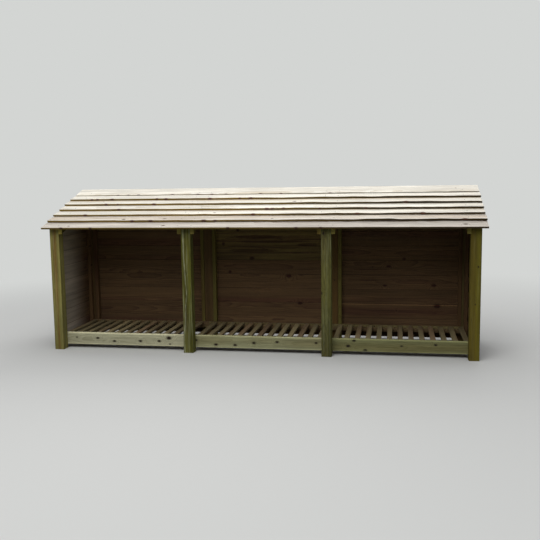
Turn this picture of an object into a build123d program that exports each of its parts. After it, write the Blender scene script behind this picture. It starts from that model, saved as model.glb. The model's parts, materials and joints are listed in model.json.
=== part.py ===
from build123d import *
import os
from math import ceil, cos, hypot, radians, sin, tan

# A three-bay garden log store with a lean-to roof of lapped boards.
# Millimetres, +Z up, X along the open front, which faces -Y.
# The origin is on the ground, in the middle of the plan that the roof covers.

# Posts and bays
bays = 3
bay_pitch = 1065.0          # centre to centre of neighbouring posts
post = 75.0                 # square posts
post_round = 3.0            # eased arrises
frame_depth = 725.0         # front of the front posts to the back of the back posts

# Roof
roof_pitch = 20.0           # degrees, rising to the back
eave_height = 959.0         # ground to the lower edge of the lowest roof board
front_overhang = 57.0       # that edge stands this far in front of the posts
side_overhang = 40.0        # the boards run this far past the end posts

# Tapered boards, the same on the roof and the walls
board_width = 150.0
board_butt = 14.0           # thick edge, the lower one but on the roof's top board
board_thin = 5.0            # thin edge, tucked under the next board
least_lap = 30.0
lap_clearance = 0.3

# Rafters, and the uprights and battens that the walls are nailed to
rib = 28.0                  # thickness of rafters, uprights, battens and floor bearers
rafter_depth = 57.0
upright_depth = 44.0
upright_proud = 6.0         # uprights stand this far in front of the back posts
batten_width = 38.0
side_recess = 5.0           # side boards lie this far inside the posts' outer faces
wall_base = 18.0            # ground to the lowest wall board
timber_arris = 2.0          # bevel along the arrises of the planed timber

# Floor
floor_height = 124.0        # ground to the top of the slats and of the plinth
plinth_height = 94.0
rear_rail_height = 50.0
slats_per_bay = 13
slat_width = 38.0
slat_thickness = 18.0
slat_end_gap = 5.0          # from the outer slats to the post or batten beside them
ledger_height = 28.0

# Worked out from the sizes above
slope = radians(roof_pitch)
slope_length = (front_overhang + frame_depth) / cos(slope)
roof_courses = ceil((slope_length - board_width) / (board_width - least_lap)) + 1
roof_cover = (slope_length - board_width) / (roof_courses - 1)
wall_cover = board_width - least_lap
eave_nose = front_overhang + board_butt * sin(slope)

front_face = (eave_nose - frame_depth) / 2          # front of the front posts
back_face = front_face + frame_depth                # back of the back posts
eave_line = front_face - front_overhang
back_post_front = back_face - post
upright_front = back_post_front - upright_proud
upright_back = upright_front + upright_depth

post_centres = [(number - bays / 2) * bay_pitch for number in range(bays + 1)]
outer_face = post_centres[-1] + post / 2
roof_length = 2 * (outer_face + side_overhang)
reach = roof_length + frame_depth + eave_height     # longer than any piece


def roof_plane_height(y):
    """Height of the rafters' top faces at a place from front to back."""
    return eave_height + (y - eave_line) * tan(slope)


def space_below(drop):
    """All that lies under the rafters' top faces, lowered square to the slope."""
    fall = drop / cos(slope)
    y_low, y_high = front_face - reach, front_face + reach
    corners = [
        (y_low, -reach),
        (y_high, -reach),
        (y_high, roof_plane_height(y_high) - fall),
        (y_low, roof_plane_height(y_low) - fall),
    ]
    outline = make_face(Polyline(*corners, close=True))
    return extrude(Plane.YZ * outline, amount=reach, both=True)


def bar(x0, x1, y0, y1, z0, z1, along):
    """A length of planed timber between two corners, its long arrises bevelled."""
    block = Pos(x0, y0, z0) * Box(x1 - x0, y1 - y0, z1 - z0, align=(Align.MIN,) * 3)
    return chamfer(block.edges().filter_by(along), timber_arris)


def lap_seats(count, cover):
    """Height of each board's lower edge above its bearers, where it sits on the one below."""
    seats = [0.0]
    for _ in range(count - 1):
        corners = board_corners(0.0, seats[-1])
        (s_low, n_low), (s_high, n_high) = corners[3], corners[2]
        share = (cover - s_low) / (s_high - s_low)
        seats.append(n_low + share * (n_high - n_low) + lap_clearance)
    return seats


def board_corners(start, seat, lower_edge=board_butt, upper_edge=board_thin):
    """End view of one tapered board, its upper edge down on the bearer."""
    run = (board_width ** 2 - seat ** 2) ** 0.5
    up, out = run / board_width, seat / board_width
    return [
        (start, seat),
        (start + run, 0.0),
        (start + run + out * upper_edge, up * upper_edge),
        (start + out * lower_edge, seat + up * lower_edge),
    ]


def lapped_boards(corner, uphill, outward, length, count, cover, last_turned=False):
    """Boards laid from the lowest up, each on the back of the one below.

    The last may be turned, thick edge up.
    """
    end = Plane(origin=corner, x_dir=uphill, z_dir=uphill.cross(outward))
    sections = [board_corners(number * cover, seat) for number, seat in enumerate(lap_seats(count, cover))]
    if last_turned:
        start, seat = sections[-1][0]
        sections[-1] = board_corners(start, seat, board_thin, board_butt)
    return [extrude(end * make_face(Polyline(*section, close=True)), amount=length) for section in sections]


def wall_courses(top):
    """How many boards a wall needs to reach the roof."""
    return ceil((top - wall_base - board_width) / wall_cover) + 1


def square_post(x, y):
    """A post from the ground to the roof boards, its head cut to the slope."""
    shaft = extrude(Pos(x, y) * RectangleRounded(post, post, post_round), amount=reach)
    return shaft & space_below(0)


def rafter(x0):
    """A rafter on edge, plumb cut at both ends, its top face in the roof plane."""
    fall = rafter_depth / cos(slope)
    y0, y1 = front_face, upright_back
    corners = [
        (y0, roof_plane_height(y0) - fall),
        (y1, roof_plane_height(y1) - fall),
        (y1, roof_plane_height(y1)),
        (y0, roof_plane_height(y0)),
    ]
    outline = make_face(Polyline(*corners, close=True))
    block = extrude(Pos(x0, 0, 0) * (Plane.YZ * outline), amount=rib)
    long_edges = [edge for edge in block.edges() if edge.length > hypot(rafter_depth, rib)]
    return chamfer(long_edges, timber_arris)


def upright(x0):
    """A back upright from the ground up to the underside of its rafter."""
    piece = bar(x0, x0 + rib, upright_front, upright_back, 0, reach, Axis.Z)
    return piece & space_below(rafter_depth)


def frame_places():
    """Left side of each rafter and upright: one against each side of a post that has a bay there."""
    places = []
    for left, right in zip(post_centres, post_centres[1:]):
        places += [left + post / 2, right - post / 2 - rib]
    return places


def lap_thickness():
    """Thickness over the laps of the tallest wall, from its bearers to its thick edges."""
    seats = lap_seats(wall_courses(roof_plane_height(back_face)), wall_cover)
    return max(n for seat in seats for _, n in board_corners(0, seat))


side_wall_inner = outer_face - side_recess - lap_thickness()
batten_inner = side_wall_inner - rib


def floor_limits(number):
    """Ends of one bay's floor: between posts, or out to the battens of a side wall."""
    left = post_centres[number] + post / 2
    right = post_centres[number + 1] - post / 2
    if number == 0:
        left = -batten_inner
    if number == bays - 1:
        right = batten_inner
    return left, right


def bearer_limits(number):
    """Ends of one bay's plinth and rear rail: they butt on the posts' centre lines."""
    left = max(post_centres[number], -batten_inner)
    right = min(post_centres[number + 1], batten_inner)
    return left, right


plinth_front = front_face + post
plinth_back = plinth_front + rib
rail_front = upright_front - rib
slat_underside = floor_height - slat_thickness


def plinth_board(number):
    """Board on edge behind the front posts, flush with the slats."""
    x0, x1 = bearer_limits(number)
    return bar(x0, x1, plinth_front, plinth_back, floor_height - plinth_height, floor_height, Axis.X)


def rear_rail(number):
    """Rail on the faces of the back uprights, flush with the slats."""
    x0, x1 = bearer_limits(number)
    return bar(x0, x1, rail_front, upright_front, floor_height - rear_rail_height, floor_height, Axis.X)


def ledgers(y0):
    """Bearers that the slat ends rest on, one for each bay."""
    pieces = []
    for number in range(bays):
        x0, x1 = floor_limits(number)
        pieces.append(bar(x0, x1, y0, y0 + rib, slat_underside - ledger_height, slat_underside, Axis.X))
    return pieces


def floor_slats(number):
    """Slats from front to back, evenly spaced between the plinth and the rear rail."""
    x0, x1 = floor_limits(number)
    spread = x1 - x0 - 2 * slat_end_gap - slat_width
    step = spread / (slats_per_bay - 1)
    slats = []
    for place in range(slats_per_bay):
        left = x0 + slat_end_gap + place * step
        right = left + slat_width
        slats.append(bar(left, right, plinth_back, rail_front, slat_underside, floor_height, Axis.Y))
    return slats


def back_wall(number):
    """Boards between two back posts, nailed to the backs of the uprights."""
    x0 = post_centres[number] + post / 2
    x1 = post_centres[number + 1] - post / 2
    corner = Vector(x1, upright_back, wall_base)
    count = wall_courses(roof_plane_height(upright_back + lap_thickness()))
    boards = lapped_boards(corner, Vector(0, 0, 1), Vector(0, 1, 0), x1 - x0, count, wall_cover)
    return [board & space_below(0) for board in boards]


def side_wall(side):
    """Boards between the front and back posts of one end, their tops cut to the slope."""
    y0, y1 = plinth_front, back_post_front
    corner = Vector(side * side_wall_inner, y0 if side > 0 else y1, wall_base)
    count = wall_courses(roof_plane_height(y1))
    boards = lapped_boards(corner, Vector(0, 0, 1), Vector(side, 0, 0), y1 - y0, count, wall_cover)
    return [board & space_below(0) for board in boards]


def side_battens(side):
    """Upright battens against the posts, which carry one side wall."""
    x0, x1 = sorted((side * batten_inner, side * side_wall_inner))
    pieces = []
    for y0 in (plinth_front, back_post_front - batten_width):
        batten = bar(x0, x1, y0, y0 + batten_width, wall_base, reach, Axis.Z)
        pieces.append(batten & space_below(0))
    return pieces


def roof_boards():
    """Full-length boards nailed across the rafters, the top one with its thick edge uppermost."""
    corner = Vector(-roof_length / 2, eave_line, eave_height)
    uphill = Vector(0, cos(slope), sin(slope))
    outward = Vector(0, -sin(slope), cos(slope))
    return lapped_boards(corner, uphill, outward, roof_length, roof_courses, roof_cover, last_turned=True)


def build_store():
    """Every piece of the log store, by name."""
    pieces = {}
    for number, x in enumerate(post_centres, 1):
        pieces[f"front_post_{number}"] = [square_post(x, front_face + post / 2)]
        pieces[f"back_post_{number}"] = [square_post(x, back_face - post / 2)]
    for number, x in enumerate(frame_places(), 1):
        pieces[f"rafter_{number}"] = [rafter(x)]
        pieces[f"back_upright_{number}"] = [upright(x)]
    for number in range(bays):
        pieces[f"plinth_board_{number + 1}"] = [plinth_board(number)]
        pieces[f"rear_rail_{number + 1}"] = [rear_rail(number)]
        pieces[f"floor_slats_{number + 1}"] = floor_slats(number)
        pieces[f"back_wall_{number + 1}"] = back_wall(number)
    pieces["front_ledgers"] = ledgers(plinth_back)
    pieces["rear_ledgers"] = ledgers(rail_front - rib)
    for name, side in (("left", -1), ("right", 1)):
        pieces[f"{name}_wall"] = side_wall(side)
        pieces[f"{name}_battens"] = side_battens(side)
    for number, board in enumerate(roof_boards(), 1):
        pieces[f"roof_board_{number}"] = [board]
    return pieces


os.makedirs("parts", exist_ok=True)
for name, shapes in build_store().items():
    solids = [solid for shape in shapes for solid in shape.solids()]
    node = Compound(children=solids, label=name)
    export_step(node, f"parts/{name}.step")
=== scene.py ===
import json
from functools import partial
from math import cos, radians, sin
from types import SimpleNamespace

import bmesh
import bpy
from mathutils import Matrix, Vector

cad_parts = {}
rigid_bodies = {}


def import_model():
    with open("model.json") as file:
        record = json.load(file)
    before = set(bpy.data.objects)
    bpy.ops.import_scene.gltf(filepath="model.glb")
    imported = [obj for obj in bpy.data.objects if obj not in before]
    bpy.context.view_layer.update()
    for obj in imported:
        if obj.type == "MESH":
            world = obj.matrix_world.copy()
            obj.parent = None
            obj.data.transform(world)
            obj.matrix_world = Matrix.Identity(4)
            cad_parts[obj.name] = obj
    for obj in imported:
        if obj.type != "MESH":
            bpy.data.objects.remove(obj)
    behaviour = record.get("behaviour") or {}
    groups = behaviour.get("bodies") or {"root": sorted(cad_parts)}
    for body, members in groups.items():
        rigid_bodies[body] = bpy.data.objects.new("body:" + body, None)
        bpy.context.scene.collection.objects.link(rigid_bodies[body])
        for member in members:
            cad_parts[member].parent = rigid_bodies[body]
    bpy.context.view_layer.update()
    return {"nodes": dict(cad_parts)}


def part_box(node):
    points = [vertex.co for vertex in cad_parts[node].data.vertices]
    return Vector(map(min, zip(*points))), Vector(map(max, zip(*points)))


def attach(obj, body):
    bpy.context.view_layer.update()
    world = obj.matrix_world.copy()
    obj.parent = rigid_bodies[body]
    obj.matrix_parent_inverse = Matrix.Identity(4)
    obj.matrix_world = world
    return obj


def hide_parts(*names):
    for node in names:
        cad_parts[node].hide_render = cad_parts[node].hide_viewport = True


# A three-bay garden log store of pressure-treated softwood, open towards -Y. Metres, +Z up.
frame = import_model()

# Posts: four 75 mm square posts at the front and four behind, from the ground to the roof boards.
# Planed redwood, pressure treated: olive green, with grain and few knots. The front posts get darker from
# left
# to right: painted light that falls off to the right. The back posts are browner: partly the wood, partly
# painted shade of the store's inside, back post 3 lighter.
mm = 0.001
smooth = dict(interpolation_type="SMOOTHSTEP")

# What the looks of a timber may say, and what they are where nothing is said. Places are along the
# grain and across it, from the middle of the timber. The boards of a wall count from 0, the lowest.
plain_looks = dict(
    ring=4.5 * mm,  # width of a growth ring
    ring_depth=0.5,  # strength of the late wood's colour
    knots=(),  # knots at given places, each with its radius
    knot_share=0.35,  # share of the places where a knot may be that have one
    shakes=(),  # cracks along the grain, each with its half length
    flames=(),  # dark tongues inside a wall, each with its half length and half width
    fibre=(90 * mm, 2.5 * mm),  # length and width of the fine streaks
    fibre_depth=0.25,
    streak_depth=0.2,
    board_depth=0.15,  # how far the tones of boards differ
    end_tone=0.8,  # tone of the sawn ends
    sawn=0.2,  # depth of the saw's ribs
    rough=0.75,
    heart_band=None,  # middle and half width of a streak of heartwood
    salt=0.0,  # strength of the pale streaks that the treatment leaves
    salt_line=None,  # middle and half width of one bold pale streak
    worn_edges=None,  # half width of a board whose arrises are paler, partly rubbed and partly painted highlight, and how far
    damp_foot=0.0,  # how much darker the damp lower part of a post is
    edge=None,  # colours of a sawn lower edge, at its left end and at its right: the wood's olive brown darkened with painted shade, darker to the right
    olive=None,  # first board of a wall that keeps the treatment's olive, and the colour
    dry_front=None,  # how strongly the inside of a side wall is painted paler towards the open front, as light falls in there, and to what colour
    bright_row=None,  # board of a wall whose thin edge is lit
)


def linear(hex_colour):
    """The linear colour of an sRGB hex value."""
    shares = [int(hex_colour[place:place + 2], 16) / 255 for place in (1, 3, 5)]
    return [s / 12.92 if s <= 0.04045 else ((s + 0.055) / 1.055) ** 2.4 for s in shares] + [1.0]


def add_node(tree, kind, inputs=(), **settings):
    """Adds a node with its settings. Its inputs, in order or by socket, take values, outputs or nodes."""
    node = tree.nodes.new("ShaderNode" + kind)
    for name, value in settings.items():
        setattr(node, name, value)
    if not isinstance(inputs, dict):
        inputs = dict(enumerate(inputs))
    for socket, value in inputs.items():
        if isinstance(value, bpy.types.Node):
            value = next(output for output in value.outputs if output.enabled)
        if isinstance(value, bpy.types.NodeSocket):
            tree.links.new(value, node.inputs[socket])
        else:
            node.inputs[socket].default_value = value
    return node


def oval(add, place, along, across, half_length, half_width):
    """How far a place is from the middle of an oval that lies along the grain: 1 at its rim."""
    scale = Vector((1 / half_length, 1 / half_width, 0.0))
    shift = -scale * Vector((along, across, 0.0))
    offset = add("VectorMath", [place, scale, shift], operation="MULTIPLY_ADD")
    return add("VectorMath", [offset], operation="LENGTH").outputs["Value"]


def find_spot(add, middle, turn, number, rows):
    """Which board a point is on, and where on it, with the grain turned to X and the width to Y.

    rows gives the start, pitch, lap and outward side of the boards that a node holds.
    """
    log_length = 7.0
    angles = [radians(angle) for angle in turn]
    centred = add("VectorMath", [add("TexCoord").outputs["Object"], middle], operation="SUBTRACT")
    spot = SimpleNamespace(turned=add("Mapping", {"Vector": centred, "Rotation": angles}))
    spot.lengthwise, spot.across, spot.through = add("SeparateXYZ", [spot.turned]).outputs
    normal = add("NewGeometry").outputs["Normal"]
    facing = add("Mapping", {"Vector": normal, "Rotation": angles}, vector_type="NORMAL")
    spot.end_facing, spot.edge_facing, _ = add("SeparateXYZ", [facing]).outputs
    if rows:
        # A lapped board shows from its lower edge up outside, and from a lap higher inside
        start, pitch, lap, outward = rows
        side = add("VectorMath", [normal, outward], operation="DOT_PRODUCT").outputs["Value"]
        spot.inside = add("Math", [side, 0.0], operation="LESS_THAN")
        first_seam = add("Math", [spot.inside, lap, start], operation="MULTIPLY_ADD")
        from_seam = add("Math", [spot.across, first_seam], operation="SUBTRACT")
        spot.row = add("Math", [from_seam, pitch], operation="DIVIDE")
        spot.board = add("Math", [spot.row], operation="FLOOR")
        spot.up_board = add("Math", [spot.row], operation="FRACT")
        spot.across = add("Math", [spot.up_board, pitch, -pitch / 2], operation="MULTIPLY_ADD")
        number = add("Math", [spot.board, float(number)], operation="ADD")
    chance = add("TexWhiteNoise", {"W": number}, noise_dimensions="1D")
    spot.tone_chance = chance.outputs["Value"]
    log_chance, *spot.pith_chances = add("SeparateColor", [chance.outputs["Color"]]).outputs
    spot.along = add("Math", [log_chance, log_length, spot.lengthwise], operation="MULTIPLY_ADD")
    spot.place = add("CombineXYZ", [spot.along, spot.across, spot.through])
    return spot


def find_knots(add, spot, looks):
    """How far a point is from the middle of a knot or a crack: 1 at the rim, which is ragged."""
    cell_size, least_knot, most_knot, no_knot = 230 * mm, 5 * mm, 13 * mm, 99.0
    width_to_length, crack_half_width = 0.6, 3.5 * mm
    cells = add("VectorMath", [spot.place, [1 / cell_size] * 3], operation="MULTIPLY")
    cell = add("TexVoronoi", {"Vector": cells, "Scale": 1.0}, voronoi_dimensions="2D")
    lot, size, _ = add("SeparateColor", [cell.outputs["Color"]]).outputs
    radius = add("MapRange", [size, 0.0, 1.0, least_knot / cell_size, most_knot / cell_size], **smooth)
    near = add("Math", [cell.outputs["Distance"], radius], operation="DIVIDE")
    clear = add("Math", [lot, looks.knot_share], operation="GREATER_THAN")
    near = add("Math", [clear, no_knot, near], operation="MULTIPLY_ADD")
    ovals = [(along, across, radius / width_to_length, radius) for along, across, radius in looks.knots]
    ovals += [(*shake, crack_half_width) for shake in looks.shakes]
    for sizes in ovals:
        near = add("Math", [near, oval(add, spot.turned, *sizes)], operation="MINIMUM")
    return add("Math", [near, spot.ragged], operation="ADD")


def find_rings(add, spot, looks):
    """How far a point is from the pith, which wanders past the board, and the late wood of the rings."""
    # Beside the board and below it: the pith's least offset, and its spread by board and along a board
    ways = ((spot.across, -90 * mm, 120 * mm, 60 * mm), (spot.through, -30 * mm, 80 * mm, 70 * mm))
    sweep, rings_swept, late_narrowness = 10 * mm, 2.5, 2.5
    wander = add("TexNoise", {"W": spot.along, "Scale": 0.8, "Detail": 3.0}, noise_dimensions="1D")
    wanders = add("SeparateColor", [wander.outputs["Color"]]).outputs
    offsets = [0.0]
    for chance, drift, (place, least, spread, reach) in zip(spot.pith_chances, wanders, ways):
        offset = add("Math", [drift, reach, least], operation="MULTIPLY_ADD")
        offset = add("Math", [chance, spread, offset], operation="MULTIPLY_ADD")
        offsets.append(add("Math", [place, offset], operation="ADD"))
    from_pith = add("VectorMath", [add("CombineXYZ", offsets)], operation="LENGTH").outputs["Value"]
    from_pith = add("Math", [spot.noise["sweeps"], sweep, from_pith], operation="MULTIPLY_ADD")

    # The rings sweep round the knots
    swell = add("MapRange", [spot.near, 4.0, 1.0], **smooth)
    swell = add("Math", [swell, rings_swept], operation="MULTIPLY")
    years = add("Math", [from_pith, 1 / looks.ring, swell], operation="MULTIPLY_ADD")
    season = add("Math", [years], operation="FRACT")
    return from_pith, add("Math", [season, late_narrowness], operation="POWER")


def paint_wood(add, spot, looks, colours):
    """The colour of sapwood, heartwood, late wood and knots, and of what lies on them, coat over coat."""
    sapwood, heartwood, late, knot = (linear(colour) for colour in colours)
    streaks, patches = spot.noise["streaks"], spot.noise["patches"]
    if looks.heart_band:
        middle, half_width = looks.heart_band
        offset = add("Math", [spot.across, middle], operation="SUBTRACT")
        offset = add("Math", [offset], operation="ABSOLUTE")
        reach = add("Math", [patches, 50 * mm, offset], operation="MULTIPLY_ADD")
        heart_edge, edge_width = half_width + 17 * mm, 20 * mm
    else:
        reach = add("Math", [patches, 30 * mm, spot.from_pith], operation="MULTIPLY_ADD")
        heart_edge, edge_width = 48 * mm, 30 * mm

    # Each coat is a share and a colour, and lies over the ones before it
    coats = [(add("MapRange", [reach, heart_edge, heart_edge + edge_width], **smooth), sapwood)]
    if looks.olive:
        first_board, olive = looks.olive
        high = add("Math", [spot.row, float(first_board)], operation="GREATER_THAN")
        high = add("Math", [spot.inside, high], operation="MULTIPLY")
        stain = add("MapRange", [streaks, 0.35, 0.6, 0.15, 0.55], **smooth)
        coats.append((add("Math", [high, stain], operation="MULTIPLY"), linear(olive)))
    coats.append((add("Math", [spot.late_wood, looks.ring_depth], operation="MULTIPLY"), late))
    for flame in looks.flames:
        reach = add("Math", [oval(add, spot.turned, *flame), spot.ragged], operation="ADD")
        dark = add("MapRange", [reach, 1.1, 0.7, 0.0, 0.7], **smooth)
        coats.append((add("Math", [dark, spot.inside], operation="MULTIPLY"), knot))
    # Painted light: the inside of a side wall paler towards the open front
    if looks.dry_front:
        strength, front_light_colour = looks.dry_front
        front_light_share = add("MapRange", [spot.lengthwise, 0.25, -0.15, 0.0, strength], **smooth)
        coats.append((add("Math", [spot.inside, front_light_share], operation="MULTIPLY"), linear(front_light_colour)))
    if looks.salt:
        crust = add("MapRange", [spot.noise["crust"], 0.5, 0.7, 0.0, looks.salt], **smooth)
        coats.append((crust, linear(salt_grey)))
    if looks.salt_line:
        (middle, half_width), bend = looks.salt_line, 40 * mm
        bends = add("TexNoise", {"W": spot.along, "Scale": 2.5, "Detail": 1.0}, noise_dimensions="1D")
        line = add("Math", [bends, bend, middle - bend / 2], operation="MULTIPLY_ADD")
        offset = add("Math", [spot.across, line], operation="SUBTRACT")
        offset = add("Math", [offset], operation="ABSOLUTE")
        line = add("MapRange", [offset, half_width, 0.0], **smooth)
        broken = add("MapRange", [spot.noise["fibres"], 0.3, 0.65, 0.2, 0.75], **smooth)
        coats.append((add("Math", [line, broken], operation="MULTIPLY"), linear(salt_grey)))
    # The lower edge: the wood's olive brown, darkened with painted shade, more to the right where less light
    # falls
    if looks.edge:
        left, right = (linear(colour) for colour in looks.edge)
        darker_to_right = add("MapRange", [spot.lengthwise, -0.6, 1.2], **smooth)
        edge_colour_and_shade = add("Mix", {0: darker_to_right, 6: left, 7: right}, data_type="RGBA")
        coats.append((add("MapRange", [spot.edge_facing, -0.6, -0.8], **smooth), edge_colour_and_shade))
    coats.append((add("MapRange", [spot.near, 1.7, 1.0, 0.0, 0.45], **smooth), knot))
    coats.append((spot.knot_heart, knot))
    colour = heartwood
    for share, coat in coats:
        colour = add("Mix", {0: share, 6: colour, 7: coat}, data_type="RGBA")
    return colour


def tone_wood(add, spot, looks, rows):
    """How light the wood is: along its fibres, by board, where it is damp or sawn, at the arrises (partly
    rubbed, partly painted highlight), and at the laps inside (painted light, and painted shade with dirt).
    """
    depths = (
        (spot.noise["streaks"], 4 * looks.streak_depth),
        (spot.noise["patches"], 2 * looks.streak_depth),
        (spot.noise["fibres"], looks.fibre_depth),
        (spot.tone_chance, 2 * looks.board_depth),
    )
    tone = 1.0
    for pattern, depth in depths:
        offset = add("Math", [pattern, 0.5], operation="SUBTRACT")
        tone = add("Math", [offset, depth, tone], operation="MULTIPLY_ADD")
    # Paler arrises: partly rubbed wood, partly painted highlight where light catches the edges
    if looks.worn_edges:
        half_width, arris_paleness = looks.worn_edges
        from_middle = add("Math", [spot.across], operation="ABSOLUTE")
        pale_arris = add("MapRange", [from_middle, half_width - 12 * mm, half_width - 3 * mm, 0.0, arris_paleness], **smooth)
        tone = add("Math", [tone, pale_arris], operation="ADD")
    if looks.damp_foot:
        damp = add("MapRange", [spot.lengthwise, -0.3, -0.05, 1.0 - looks.damp_foot, 1.0], **smooth)
        tone = add("Math", [tone, damp], operation="MULTIPLY")
    end = add("Math", [spot.end_facing], operation="ABSOLUTE")
    end = add("MapRange", [end, 0.75, 0.9, 1.0, looks.end_tone], **smooth)
    tone = add("Math", [tone, end], operation="MULTIPLY")
    if rows:
        # Inside, each board's thin edge is paler: painted light that leaks in and catches it, brighter still
        # on a given row; the line just above each lap is darker: dirt and painted shade.
        painted_edge_light = add("MapRange", [spot.up_board, 0.96, 0.99, 0.0, 0.3], **smooth)
        lap_dirt_and_shade = add("MapRange", [spot.up_board, 0.04, 0.01, 0.0, 0.5], **smooth)
        lap_light_and_shade = add("Math", [painted_edge_light, lap_dirt_and_shade], operation="SUBTRACT")
        if looks.bright_row is not None:
            lit = add("Math", [spot.board, float(looks.bright_row), 0.1], operation="COMPARE")
            bright_edge = add("MapRange", [spot.up_board, 0.93, 0.96, 0.0, 0.9], **smooth)
            lap_light_and_shade = add("Math", [lit, bright_edge, lap_light_and_shade], operation="MULTIPLY_ADD")
        lap_light_and_shade = add("Math", [lap_light_and_shade, spot.inside, 1.0], operation="MULTIPLY_ADD")
        tone = add("Math", [tone, lap_light_and_shade], operation="MULTIPLY")
    return tone


def softwood(title, middle, turn, colours, number, rows=None, **looks):
    """Softwood cut beside the pith of a log, whose heart shows as long arches where the pith comes near.

    turn brings the grain to X and the width to Y, about the middle. colours are sapwood, heartwood,
    late wood and knots. Each number is another board of the log, and rows are as find_spot has them.
    """
    looks = SimpleNamespace(**{**plain_looks, **looks})
    material = bpy.data.materials.new(title)
    material.use_nodes = True
    tree = material.node_tree
    add = partial(add_node, tree)
    spot = find_spot(add, middle, turn, number, rows)

    # Noise drawn out along the grain: the length and width of each
    sizes = dict(fibres=looks.fibre, streaks=(0.6, 22 * mm), patches=(0.5, 70 * mm), sweeps=(0.35, 25 * mm),
                 ragged=(14 * mm, 6 * mm), saw_marks=(5 * mm, 60 * mm))
    if looks.salt:
        sizes["crust"] = (0.5, 12 * mm)
    spot.noise = {}
    for name, (length, width) in sizes.items():
        drawn_out = add("VectorMath", [spot.place, (1 / length, 1 / width, 1 / width)], operation="MULTIPLY")
        pattern = {"Vector": drawn_out, "Scale": 1.0, "Detail": 3.0, "Roughness": 0.55}
        spot.noise[name] = add("TexNoise", pattern)
    spot.ragged = add("Math", [spot.noise["ragged"], 0.5], operation="SUBTRACT")

    spot.near = find_knots(add, spot, looks)
    spot.knot_heart = add("MapRange", [spot.near, 1.0, 0.7], **smooth)
    spot.from_pith, spot.late_wood = find_rings(add, spot, looks)
    colour = paint_wood(add, spot, looks, colours)
    tone = tone_wood(add, spot, looks, rows)
    colour = add("HueSaturation", {"Value": tone, "Color": colour})

    # Dry, dull wood, raised along its fibres and late wood, and ribbed by the saw
    heights = ((spot.late_wood, 0.4), (spot.noise["saw_marks"], 3 * looks.sawn), (spot.knot_heart, -0.6))
    relief = add("Math", [spot.noise["fibres"], 0.8], operation="MULTIPLY")
    for pattern, height in heights:
        relief = add("Math", [pattern, height, relief], operation="MULTIPLY_ADD")
    bump = add("Bump", {"Height": relief, "Distance": 0.6 * mm, "Strength": 1.0})
    smoothest, roughest = looks.rough - 0.08, looks.rough + 0.08
    roughness = add("MapRange", [spot.noise["fibres"], 0.2, 0.8, smoothest, roughest], **smooth)
    surface = tree.nodes["Principled BSDF"]
    for socket, node in (("Base Color", colour), ("Normal", bump), ("Roughness", roughness)):
        tree.links.new(node.outputs[0], surface.inputs[socket])
    surface.inputs["IOR"].default_value = 1.45
    surface.inputs["Specular IOR Level"].default_value = 0.3
    return material


def middle_of(name):
    """The middle of a node's box."""
    low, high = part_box(name)
    return (low + high) / 2


def finish_node(name, wood, turn, colours, number, **looks):
    """Gives a node of the frame the looks of its own piece of a wood."""
    finishes = frame["nodes"][name].data.materials
    finishes.clear()
    finishes.append(softwood(f"{wood}_{name}", middle_of(name), turn, colours, number, **looks))


grain_up = (90, 0, 90)
salt_grey = "#b3b592"
# Painted light: front post 1 lightest and post 4 darkest, as the light falls off to the right
post_colours_with_painted_light = {
    "front_post_1": ("#9a9352", "#8a7039", "#735e2a", "#3f2c17"),
    "front_post_2": ("#5f5e20", "#594f1d", "#393610", "#34240f"),
    "front_post_3": ("#62602e", "#5c552a", "#3c3816", "#29200f"),
    "front_post_4": ("#6c641c", "#645718", "#463c0e", "#30240c"),
    "back_post_3": ("#736333", "#684f29", "#4e3c1c", "#29190c"),
}
# Back posts browner: partly the wood, partly painted shade of the store's inside
painted_shade_colours = ("#635631", "#5a4527", "#43341b", "#29190c")
post_looks = {
    "front_post_1": dict(streak_depth=0.35, fibre_depth=0.7, salt=0.2, heart_band=(2 * mm, 9 * mm),
                         damp_foot=0.25),
    "front_post_2": dict(streak_depth=0.5, fibre_depth=0.8, salt=0.35, salt_line=(-17 * mm, 7 * mm)),
    "front_post_3": dict(streak_depth=0.3, fibre_depth=1.5, salt=0.2, knots=((0.42, -0.02, 7 * mm),),
                         damp_foot=0.25),
    "front_post_4": dict(streak_depth=0.4, fibre_depth=0.7, salt=0.08,
                         knots=((0.18, 0.015, 5 * mm), (-0.09, 0.0, 4 * mm))),
}
front_fibre = (50 * mm, 8 * mm)  # coarser than it is, so that it shows
front_looks = dict(knot_share=0.2, ring_depth=0.7, board_depth=0.0, fibre=front_fibre)
back_looks = dict(knot_share=0.25, streak_depth=0.3, board_depth=0.05)
post_names = [f"{row}_post_{number}" for row in ("front", "back") for number in range(1, 5)]
for number, name in enumerate(post_names, 1):
    looks = {**front_looks, **post_looks[name]} if name.startswith("front") else back_looks
    finish_node(name, "treated_redwood", grain_up, post_colours_with_painted_light.get(name, painted_shade_colours), number, **looks)

# Rafters and back uprights: 28 mm ribs on each side of the posts, screwed to them.
# Planed spruce, treated: yellower than the posts, with pale sawn ends, rafter_1's paler still: painted light
# from the left. The outer uprights are browner, and darker: painted shade of the inner corners.
rib_colours = ("#716833", "#665528", "#504319", "#2e1d0d")
# Browner wood, darkened with painted shade of the inner corners
corner_rib_colours_with_shade = ("#654c30", "#593b26", "#442d1b", "#2e1d0d")
grain_up_slope = (-20, 0, -90)
for kind, turn in (("rafter", grain_up_slope), ("back_upright", grain_up)):
    for number in range(1, 7):
        name = f"{kind}_{number}"
        colours = corner_rib_colours_with_shade if name in ("back_upright_1", "back_upright_6") else rib_colours
        # rafter_1's sawn end is paler still: painted light from the left
        finish_node(name, "treated_spruce", turn, colours, 20 + number, board_depth=0.1,
                    end_tone=3.5 if name == "rafter_1" else 2.0)

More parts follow.
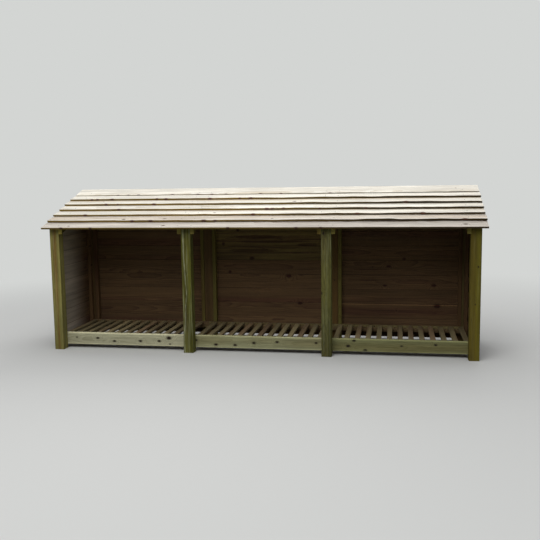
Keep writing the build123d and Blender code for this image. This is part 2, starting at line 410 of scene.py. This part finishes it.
# Plinth boards: 94 by 28 mm boards on edge behind the front posts, one for each bay.
# Planed spruce, hardly stained, with small dark knots; the places are those of the real boards. The boards
# get
# darker and greener from left to right: partly their own tone, partly painted light that falls off to the
# right.
plinth_height = 94 * mm
plinth_ring, plinth_fibre = 8 * mm, (70 * mm, 7 * mm)  # coarser than they are, so that they show
# Partly the boards' own tone, partly painted light falling off to the right
plinth_colours_with_painted_light = {
    1: ("#c7c3a2", "#b5ac89", "#938e6b", "#23170c"),
    2: ("#a8a781", "#969068", "#77744e", "#23170c"),
    3: ("#8a8a5f", "#7c764d", "#605c35", "#1e150b"),
}
plinth_knots = {  # for each board: places on it in metres, and radii in mm
    1: ((-1.482, 0.085, 5), (-1.304, 0.082, 8), (-1.165, 0.061, 8), (-0.947, 0.066, 8),
        (-0.792, 0.070, 8), (-0.712, 0.096, 12), (-0.705, 0.048, 5)),
    2: ((-0.493, 0.086, 7), (-0.333, 0.054, 9), (-0.182, 0.054, 9), (-0.032, 0.074, 9),
        (0.148, 0.086, 8), (0.447, 0.086, 7)),
    3: ((0.733, 0.112, 8), (0.689, 0.070, 9), (0.816, 0.042, 8), (1.084, 0.080, 6), (1.330, 0.094, 7)),
}
grain_level = (-90, 0, 0)
for number, places in plinth_knots.items():
    name = f"plinth_board_{number}"
    middle = middle_of(name)
    knots = [(x - middle.x, z - middle.z, radius * mm) for x, z, radius in places]
    # The arrises are paler: partly rubbed, partly painted highlight
    finish_node(name, "treated_spruce", grain_level, plinth_colours_with_painted_light[number], 30 + number, knots=knots,
                knot_share=0.0, streak_depth=0.25, board_depth=0.05, ring=plinth_ring, ring_depth=0.6,
                fibre=plinth_fibre, fibre_depth=0.7, worn_edges=(plinth_height / 2, 0.55))

# Floor slats: thirteen 38 by 18 mm slats in each bay, nailed down on the ledgers with gaps between.
# Planed spruce, treated: olive brown, each slat with its own tone.
slat_colours = ("#887b5a", "#806a50", "#66563b", "#332214")
slats_per_bay, slat_width = 13, 38 * mm


def lay_of_slats(name):
    """The middle of a bay's first slat, and the pitch of its slats."""
    low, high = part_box(name)
    return low.x + slat_width / 2, (high.x - low.x - slat_width) / (slats_per_bay - 1)


grain_back = (0, 0, -90)
for number in range(1, 4):
    name = f"floor_slats_{number}"
    _, slat_pitch = lay_of_slats(name)
    slat_rows = (-slats_per_bay / 2 * slat_pitch, slat_pitch, 0.0, (0, 0, 1))
    finish_node(name, "treated_spruce", grain_back, slat_colours, 100 * number, rows=slat_rows,
                board_depth=0.3, knot_share=0.3)

# Rear rails, ledgers and side battens: the bearers of the floor and of the side walls.
# Planed spruce, treated; the battens are as brown as the outer uprights beside them, and as dark: painted
# shade of the inner corners.
bearers = ["rear_rail_1", "rear_rail_2", "rear_rail_3", "front_ledgers", "rear_ledgers"]
bearer_colours = ("#7c7048", "#755f42", "#5d4d30", "#332214")
bearer_looks = [(name, grain_level, bearer_colours) for name in bearers]
bearer_looks += [(name, grain_up, corner_rib_colours_with_shade) for name in ("left_battens", "right_battens")]
for number, (name, turn, colours) in enumerate(bearer_looks, 40):
    finish_node(name, "treated_spruce", turn, colours, number)

# Walls: 150 mm tapered boards, each lapped 30 mm over the one below, between the posts.
# Sawn spruce, treated: brown, with bold arched grain, each board with its own tone.
wall_colours = ("#6b5337", "#5f432f", "#412a1e", "#34190f")
wall_olive = "#94854c"
# Painted light on the left wall's inside near the open front
front_light_grey = "#c2b7a8"
wall_ring = 9 * mm  # about three times too coarse, so that the rings show
wall_marks = {  # for each wall: places on it in metres, and sizes in mm
    "left_wall": dict(dry_front=(0.9, front_light_grey)),
    "back_wall_2": dict(
        knots=((0.153, 0.515, 14), (0.247, 0.286, 12), (-0.162, 0.665, 12)),
        flames=((-0.12, 0.845, 220, 16), (0.02, 0.803, 330, 9), (-0.15, 0.728, 230, 18),
                (0.31, 0.78, 90, 14)),
        olive=(5, wall_olive),
    ),
    "back_wall_3": dict(
        knots=((0.980, 0.603, 11), (1.343, 0.448, 12), (1.372, 0.277, 16), (0.951, 0.443, 9)),
        shakes=((0.828, 0.577, 110), (0.812, 0.486, 100)),
        bright_row=1,
    ),
}
wall_base, wall_cover, wall_lap = 18 * mm, 120 * mm, 30 * mm
under_edge = 1 * mm  # outside, a board's colour starts this far under its lower edge
walls = [(f"back_wall_{number}", grain_level, (0, 1, 0)) for number in range(1, 4)]
walls += [("left_wall", (-90, -90, 0), (-1, 0, 0)), ("right_wall", (-90, -90, 0), (1, 0, 0))]
for number, (name, turn, outward) in enumerate(walls):
    middle = middle_of(name)
    wall_rows = (wall_base - under_edge - middle.z, wall_cover, wall_lap + under_edge, outward)
    marks = dict(wall_marks.get(name, {}))
    for kind in ("knots", "shakes", "flames"):
        marks[kind] = [(x - middle.x, z - middle.z, *(reach * mm for reach in reaches))
                       for x, z, *reaches in marks.get(kind, ())]
    finish_node(name, "sawn_spruce", turn, wall_colours, 500 + 20 * number, rows=wall_rows, ring=wall_ring,
                ring_depth=0.75, streak_depth=0.3, knot_share=0.2, sawn=0.6, **marks)

# Roof: seven full-length tapered boards, nailed across the rafters from the eave up. Sawn spruce, dry
# and pale on top, the lowest two greyer; the thick lower edges are olive brown, sawn a little unevenly
# and lifted, and the ends are cut by eye. The lower edges' colour is partly painted shade, darker to
# the right where less light falls. Each is a CAD board, reshaped.
roof_pale = ("#ebe7db", "#dfd3bc", "#b8a588", "#54301c")
roof_worn = ("#e1dbcf", "#d2c5b3", "#a39383", "#4c2e1e")
roof_grey = ("#cbc4b9", "#b8a897", "#918071", "#432a1c")
roof_tones = {1: roof_grey, 2: roof_worn}
roof_edge_colours_and_shade = ("#7c652a", "#352705")
roof_ring, roof_fibre = 10 * mm, (150 * mm, 7 * mm)  # coarser than they are, so that they show
roof_knots = {  # for each board: metres along it, mm up from its lower edge, and radius in mm
    1: ((-1.51, 3, 7), (-1.46, 40, 6), (-1.27, 2, 6), (-0.70, 45, 8), (-0.19, 3, 7), (0.32, 2, 6),
        (0.50, 2, 6), (1.52, 60, 9)),
    2: ((-0.97, 2, 9), (-0.82, 0, 10), (-0.72, 45, 8), (-0.40, 4, 10), (-0.31, 0, 8), (0.12, 40, 6),
        (1.52, 6, 11)),
    3: ((-1.40, 4, 8), (-0.35, 45, 6), (-0.04, 3, 9), (0.75, 2, 9), (1.23, 6, 8)),
    4: ((-1.16, 2, 7), (0.05, 3, 9), (0.09, 2, 8), (0.18, 8, 7), (0.46, 0, 6), (0.81, 0, 7)),
    5: ((-1.31, 4, 7), (-1.21, 0, 5), (-0.90, 3, 9), (0.30, 40, 5), (1.11, 8, 8)),
    6: ((-1.48, 2, 6), (-1.43, 4, 6), (-1.30, 3, 8), (-0.91, 6, 6), (-0.83, 2, 8), (-0.46, 3, 9),
        (-0.21, 2, 6), (-0.12, 4, 8)),
    7: ((-1.29, 2, 6), (-1.20, 1, 7), (-1.11, 2, 8), (-0.81, 1, 7), (-0.59, 2, 7), (-0.47, 1, 7),
        (-0.35, 1, 7), (-0.06, 3, 7), (0.11, 3, 6), (0.51, 2, 9)),
}
board_width = 150 * mm
roof_slope = radians(20)
uphill = Vector((0.0, cos(roof_slope), sin(roof_slope)))
off_roof = Vector((0.0, -sin(roof_slope), cos(roof_slope)))
cuts_short = ((0, 2), (3, 0), (1, 4), (4, 1), (0, 3), (2, 0), (3, 2))  # mm, left and right
lifts = (0, 12, 12, 10, 9, 8, 5)  # mm, from the eave up
warps = {2: 0.93}  # board, and metres along it
warp_height, warp_half_length, warp_reach = 6 * mm, 60 * mm, 0.13
sawn_arris, edge_band, weld, long_edge = 0.8 * mm, 5 * mm, 0.01 * mm, 1.0
saw_wave, saw_wave_length, saw_steps, middle_share = 6 * mm, 0.2, 130, 0.75
roof_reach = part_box("roof_board_1")[1].x
saw_cut = bpy.data.textures.new("uneven_saw_cut", "CLOUDS")
saw_cut.noise_scale, saw_cut.noise_depth = saw_wave_length, 5


def pick(piece, kind, test):
    """Selects the vertices, edges or faces that pass a test, in edit mode."""
    bpy.ops.mesh.select_mode(type=kind)
    bpy.ops.mesh.select_all(action="DESELECT")
    shape = bmesh.from_edit_mesh(piece.data)
    parts = {"VERT": shape.verts, "EDGE": shape.edges, "FACE": shape.faces}[kind]
    for part in parts:
        part.select_set(test(part))
    bmesh.update_edit_mesh(piece.data)


def sawn_roof_board(node, cut_left, cut_right, lift, warped_at=None):
    """A roof board with eased arrises, ends cut short, and a wavy lower edge, lifted more to the right."""
    board = bpy.data.objects.new(f"sawn_{node.name}", node.data.copy())
    bpy.context.collection.objects.link(board)
    bpy.ops.object.select_all(action="DESELECT")
    board.select_set(True)
    bpy.context.view_layer.objects.active = board
    bpy.ops.object.mode_set(mode="EDIT")
    bpy.ops.mesh.select_all(action="SELECT")
    bpy.ops.mesh.remove_doubles(threshold=weld)
    bpy.ops.mesh.dissolve_limited(angle_limit=radians(1))
    for side, cut in ((-1, cut_left), (1, cut_right)):
        pick(board, "FACE", lambda face: face.normal.x * side > 0.9)
        bpy.ops.transform.translate(value=(-side * cut, 0, 0))
    pick(board, "EDGE", lambda edge: edge.calc_length() > long_edge)
    bpy.ops.mesh.bevel(offset=sawn_arris, segments=1, affect="EDGES")
    pick(board, "EDGE", lambda edge: edge.calc_length() > long_edge)
    bpy.ops.mesh.subdivide(number_cuts=saw_steps)
    lowest = min(vertex.co.dot(uphill) for vertex in bmesh.from_edit_mesh(board.data).verts)
    if warped_at is not None:
        pick(board, "VERT", lambda vertex: (abs(vertex.co.x - warped_at) < warp_half_length
                                            and vertex.co.dot(uphill) < lowest + edge_band))
        bpy.ops.transform.translate(value=off_roof * warp_height, use_proportional_edit=True,
                                    proportional_edit_falloff="SMOOTH", proportional_size=warp_reach)
    bpy.ops.object.mode_set(mode="OBJECT")

    lower_edge = board.vertex_groups.new(name="lower_edge")
    for vertex in board.data.vertices:
        if vertex.co.dot(uphill) < lowest + edge_band:
            share = middle_share + (1 - middle_share) * vertex.co.x / roof_reach
            lower_edge.add([vertex.index], share, "REPLACE")
    move = saw_wave * uphill + lift * off_roof
    for direction, strength in (("Y", move.y), ("Z", move.z)):
        wave = board.modifiers.new("saw_cut", "DISPLACE")
        wave.texture, wave.direction, wave.vertex_group = saw_cut, direction, "lower_edge"
        wave.strength, wave.mid_level = strength, 0.0
        bpy.ops.object.modifier_apply(modifier=wave.name)
    return board


grain_across = (-20, 0, 0)
for number, ((cut_left, cut_right), lift) in enumerate(zip(cuts_short, lifts), 1):
    name = f"roof_board_{number}"
    tones = roof_tones.get(number, roof_pale)
    knots = [(x, up * mm - board_width / 2, radius * mm) for x, up, radius in roof_knots[number]]
    material = softwood(f"sawn_spruce_{name}", middle_of(name), grain_across, tones, 60 + number,
                        knots=knots, edge=roof_edge_colours_and_shade, streak_depth=0.25, fibre=roof_fibre, fibre_depth=0.55,
                        board_depth=0.0, knot_share=0.12, sawn=0.5, ring=roof_ring, ring_depth=0.7)
    board = sawn_roof_board(frame["nodes"][name], cut_left * mm, cut_right * mm, lift * mm, warps.get(number))
    board.data.materials.clear()
    board.data.materials.append(material)
    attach(board, "root")
    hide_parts(name)

# Nails: round wire nails with flat heads, one through each board into each rafter, upright or
# batten, above the lap, and one in each end of a slat. Galvanised steel, dulled; only heads show.
nail_radius, nail_height, nail_sink = 3.2 * mm, 1.6 * mm, 0.4 * mm
rim_bevel, crown_inset, crown_height = 0.5 * mm, 1.2 * mm, 0.25 * mm
above_lap, batten_middle, boards_per_wall = 42 * mm, 19 * mm, 10

galvanised = bpy.data.materials.new("galvanised_steel_dulled")
galvanised.use_nodes = True
add = partial(add_node, galvanised.node_tree)
spangle = add("TexNoise", {"Vector": add("TexCoord").outputs["Object"], "Scale": 1 / (2 * mm), "Detail": 2.0})
zinc = add("Mix", {0: spangle, 6: linear("#6f6d68"), 7: linear("#a3a19b")}, data_type="RGBA")
surface = galvanised.node_tree.nodes["Principled BSDF"]
galvanised.node_tree.links.new(zinc.outputs[2], surface.inputs["Base Color"])
surface.inputs["Metallic"].default_value = 1.0
surface.inputs["Roughness"].default_value = 0.55

bpy.ops.object.select_all(action="DESELECT")
bpy.ops.mesh.primitive_cylinder_add(vertices=12, radius=nail_radius, depth=nail_height)
nail_head = bpy.context.object
bpy.ops.object.mode_set(mode="EDIT")
pick(nail_head, "FACE", lambda face: face.normal.z > 0.9)
bpy.ops.mesh.bevel(offset=rim_bevel, segments=1)
bpy.ops.mesh.inset(thickness=crown_inset)
bpy.ops.transform.translate(value=(0, 0, crown_height))
bpy.ops.object.mode_set(mode="OBJECT")


def drive_nails(title, places):
    """One piece of nail heads, where the line of each place (carrier, start, direction) meets its carrier."""
    bpy.context.view_layer.update()
    hits = [carrier.ray_cast(start, direction) for carrier, start, direction in places]
    bpy.ops.object.select_all(action="DESELECT")
    for met, place, normal, _ in hits:
        if met:
            shape = nail_head.data.copy()
            turn = normal.to_track_quat("Z", "Y").to_matrix().to_4x4()
            shape.transform(Matrix.Translation(place + normal * (nail_height / 2 - nail_sink)) @ turn)
            head = bpy.data.objects.new(title, shape)
            bpy.context.collection.objects.link(head)
            head.select_set(True)
    nails = bpy.data.objects[title]
    bpy.context.view_layer.objects.active = nails
    bpy.ops.object.join()
    nails.data.materials.append(galvanised)
    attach(nails, "root")


rib_middles = [middle_of(f"rafter_{number}").x for number in range(1, 7)]
roof_nails = []
for number in range(1, 8):
    board = bpy.data.objects[f"sawn_roof_board_{number}"]
    lowest = min((vertex.co for vertex in board.data.vertices), key=lambda place: place.dot(uphill))
    for x in rib_middles:
        start = Vector((x, lowest.y, lowest.z)) + uphill * above_lap + off_roof
        roof_nails.append((board, start, -off_roof))
drive_nails("roof_nails", roof_nails)

wall_nails = []
for row in range(boards_per_wall):
    z = wall_base + row * wall_cover + above_lap
    for number, x in enumerate(rib_middles):
        wall = frame["nodes"][f"back_wall_{number // 2 + 1}"]
        wall_nails.append((wall, Vector((x, 1, z)), Vector((0, -1, 0))))
    for name, side in (("left", -1), ("right", 1)):
        low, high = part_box(f"{name}_battens")
        for y in (low.y + batten_middle, high.y - batten_middle):
            start = Vector((2 * side, y, z))
            wall_nails.append((frame["nodes"][f"{name}_wall"], start, Vector((-side, 0, 0))))
drive_nails("wall_nails", wall_nails)

slat_nails = []
for number in range(1, 4):
    name = f"floor_slats_{number}"
    first_slat, slat_pitch = lay_of_slats(name)
    for ledger in ("front_ledgers", "rear_ledgers"):
        for place in range(slats_per_bay):
            start = Vector((first_slat + place * slat_pitch, middle_of(ledger).y, 1))
            slat_nails.append((frame["nodes"][name], start, Vector((0, 0, -1))))
drive_nails("slat_nails", slat_nails)
bpy.data.objects.remove(nail_head)

# The floor and the sky: a pale floor that runs into a pale surround, and three large soft lamps.
# To the camera both are pale; to the timber the floor is as dull as ground.
surround = linear("#d3d5d3")
studio_floor = linear("#cbcbc8")
ground = linear("#6a6c62")
low_sky = linear("#59595d")
high_sky = linear("#c2c4c7")
floor_radius, haze_start, haze_end, sky_height = 60, 1.8, 5.5, 0.9


def seen_directly(add):
    """1 for what the camera sees, also in gloss and through glass, and 0 for what lights the timber."""
    rays = add("LightPath").outputs
    seen = add("Math", [rays["Is Camera Ray"], rays["Is Glossy Ray"]], operation="MAXIMUM")
    return add("Math", [seen, rays["Is Transmission Ray"]], operation="MAXIMUM")


bpy.ops.object.select_all(action="DESELECT")
bpy.ops.mesh.primitive_circle_add(vertices=96, radius=floor_radius, fill_type="NGON")
floor = bpy.context.object
floor.name = "pale_floor"
floor_material = bpy.data.materials.new("pale_floor")
floor_material.use_nodes = True
tree = floor_material.node_tree
add = partial(add_node, tree)
seen = seen_directly(add)
floor_colour = add("Mix", {0: seen, 6: ground, 7: studio_floor}, data_type="RGBA")
floor_diffuse = add("BsdfDiffuse", {"Color": floor_colour})
far = add("VectorMath", [add("TexCoord").outputs["Object"]], operation="LENGTH").outputs["Value"]
far = add("MapRange", [far, haze_start, haze_end], **smooth)
far = add("Math", [far, seen], operation="MULTIPLY")
haze = add("Emission", {"Color": surround})
floor_mix = add("MixShader", [far, floor_diffuse, haze])
tree.links.new(floor_mix.outputs[0], tree.nodes["Material Output"].inputs["Surface"])
floor.data.materials.append(floor_material)

world = bpy.data.worlds.new("soft_sky")
bpy.context.scene.world = world
world.use_nodes = True
tree = world.node_tree
add = partial(add_node, tree)
up = add("SeparateXYZ", [add("TexCoord").outputs["Generated"]]).outputs["Z"]
up = add("MapRange", [up, 0.0, sky_height])
sky = add("Mix", {0: up, 6: low_sky, 7: high_sky}, data_type="RGBA")
sky_light = add("Mix", {0: seen_directly(add), 6: sky, 7: surround}, data_type="RGBA")
tree.links.new(sky_light.outputs[2], tree.nodes["Background"].inputs["Color"])

lamp_aim = Vector((0.0, 0.0, 0.6))
lamps = {  # place, size in metres, and watts
    "front_softbox": (Vector((-0.6, -4.2, 4.4)), 3.5, 120),
    "overhead_softbox": (Vector((-0.3, -0.6, 5.4)), 4.0, 78),
    "back_softbox": (Vector((0.6, 3.6, 4.4)), 4.0, 95),
}
for name, (place, size, power) in lamps.items():
    softbox = bpy.data.lights.new(name, "AREA")
    softbox.size, softbox.energy = size, power
    lamp = bpy.data.objects.new(name, softbox)
    bpy.context.collection.objects.link(lamp)
    aim = (lamp_aim - place).to_track_quat("-Z", "Y").to_matrix().to_4x4()
    lamp.matrix_world = Matrix.Translation(place) @ aim

# The camera: at eye level to the right of the middle bay, turned a little to the left.
camera_place, camera_lens = Vector((1.029, -5.534, 1.297)), 47.6
camera_left, camera_down, camera_roll = 9.98, 6.98, -0.765
camera_data = bpy.data.cameras.new("camera")
camera_data.sensor_width, camera_data.lens = 36.0, camera_lens
camera = bpy.data.objects.new("camera", camera_data)
bpy.context.collection.objects.link(camera)
camera.matrix_world = (Matrix.Translation(camera_place) @ Matrix.Rotation(radians(camera_left), 4, "Z")
                       @ Matrix.Rotation(radians(90 - camera_down), 4, "X")
                       @ Matrix.Rotation(radians(camera_roll), 4, "Z"))
bpy.context.scene.camera = camera
bpy.context.scene.view_settings.view_transform = "Standard"
